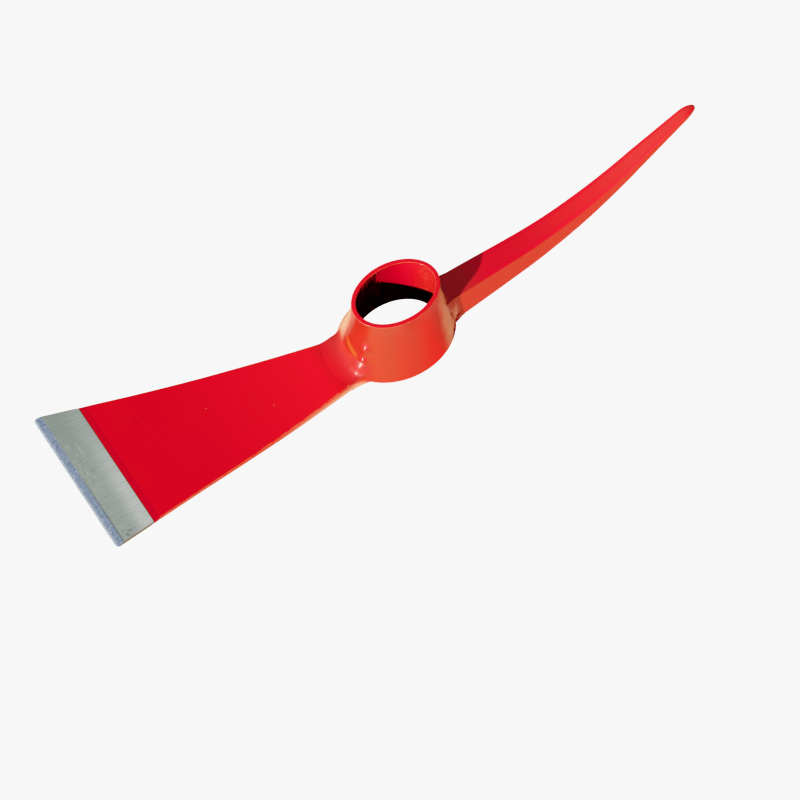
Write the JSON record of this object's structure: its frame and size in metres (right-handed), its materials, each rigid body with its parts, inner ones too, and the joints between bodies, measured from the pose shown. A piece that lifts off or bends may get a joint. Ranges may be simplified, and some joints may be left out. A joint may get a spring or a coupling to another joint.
{
  "type": "pick mattock head",
  "caption": "Steel mattock head: a tapered oval eye with a broad curved adze blade on one side and a curved pick on the other.",
  "frame": {"origin": "on the axis of the eye, at the plane of its large end, which is the lowest plane of the head", "axes": "+X towards the pick's point, -X towards the blade's edge, +Z along the eye's axis towards its small end"},
  "size_m": [0.46, 0.099, 0.0705],
  "materials": {
    "red_paint": "glossy red enamel over steel",
    "ground_steel": "bare steel with fine grinding lines"
  },
  "bodies": {
    "root": {"eye_socket": "red_paint", "adze_blade": "red_paint", "cutting_bit": "ground_steel", "pick_tine": "red_paint", "pick_point": "red_paint", "blade_weld": "red_paint", "blade_root_weld": "red_paint", "pick_weld": "red_paint", "pick_root_weld": "red_paint"}
  },
  "joints": []
}
